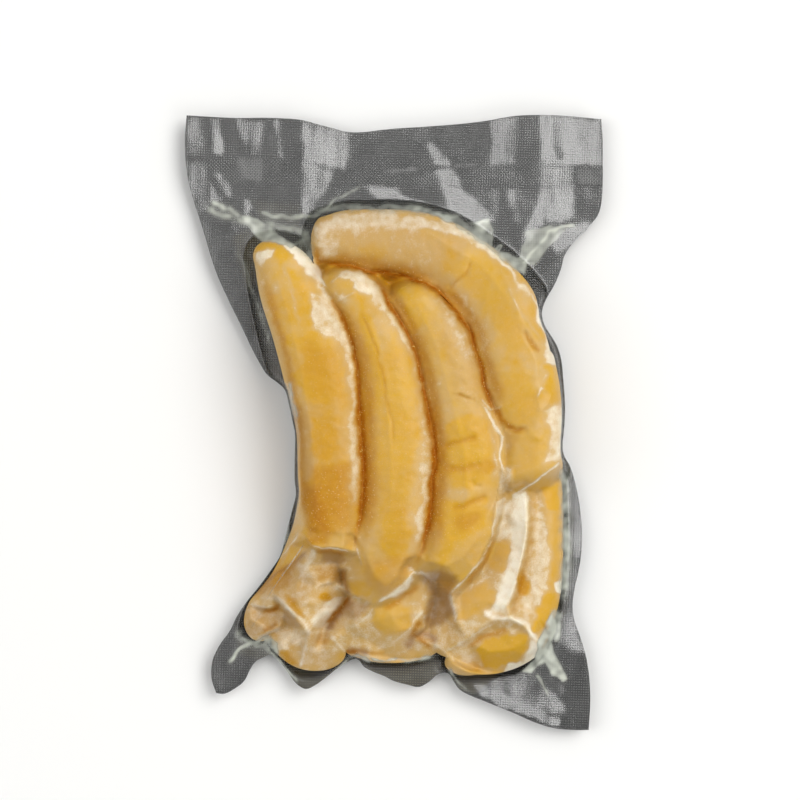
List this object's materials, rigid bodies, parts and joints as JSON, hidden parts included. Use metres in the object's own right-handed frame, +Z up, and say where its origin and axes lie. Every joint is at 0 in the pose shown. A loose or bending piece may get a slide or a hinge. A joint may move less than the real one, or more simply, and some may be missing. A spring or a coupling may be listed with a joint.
{
  "type": "vacuum packed peeled bananas",
  "caption": "Peeled bananas frozen side by side in two layers and sealed tightly in a flat vacuum pouch with a clear front film and a dark embossed back film.",
  "frame": {"origin": "under the middle of the pouch's outline, on the surface that it lies on", "axes": "+X to the right and +Y towards the pouch's straight sealed mouth, as seen from the clear side; +Z up, out of the clear film"},
  "size_m": [0.1986, 0.292, 0.0514],
  "materials": {
    "film_front": "clear glossy pouch film",
    "film_back": "dark grey embossed pouch film, glossy",
    "flesh": "frozen banana flesh, satin with frost"
  },
  "bodies": {
    "root": {"film_front": "film_front", "film_back": "film_back", "banana_upper_1": "flesh", "banana_upper_2": "flesh", "banana_upper_3": "flesh", "banana_upper_4": "flesh", "banana_lower_1": "flesh", "banana_lower_2": "flesh", "banana_lower_3": "flesh", "banana_lower_4": "flesh", "banana_lower_5": "flesh"}
  },
  "joints": []
}
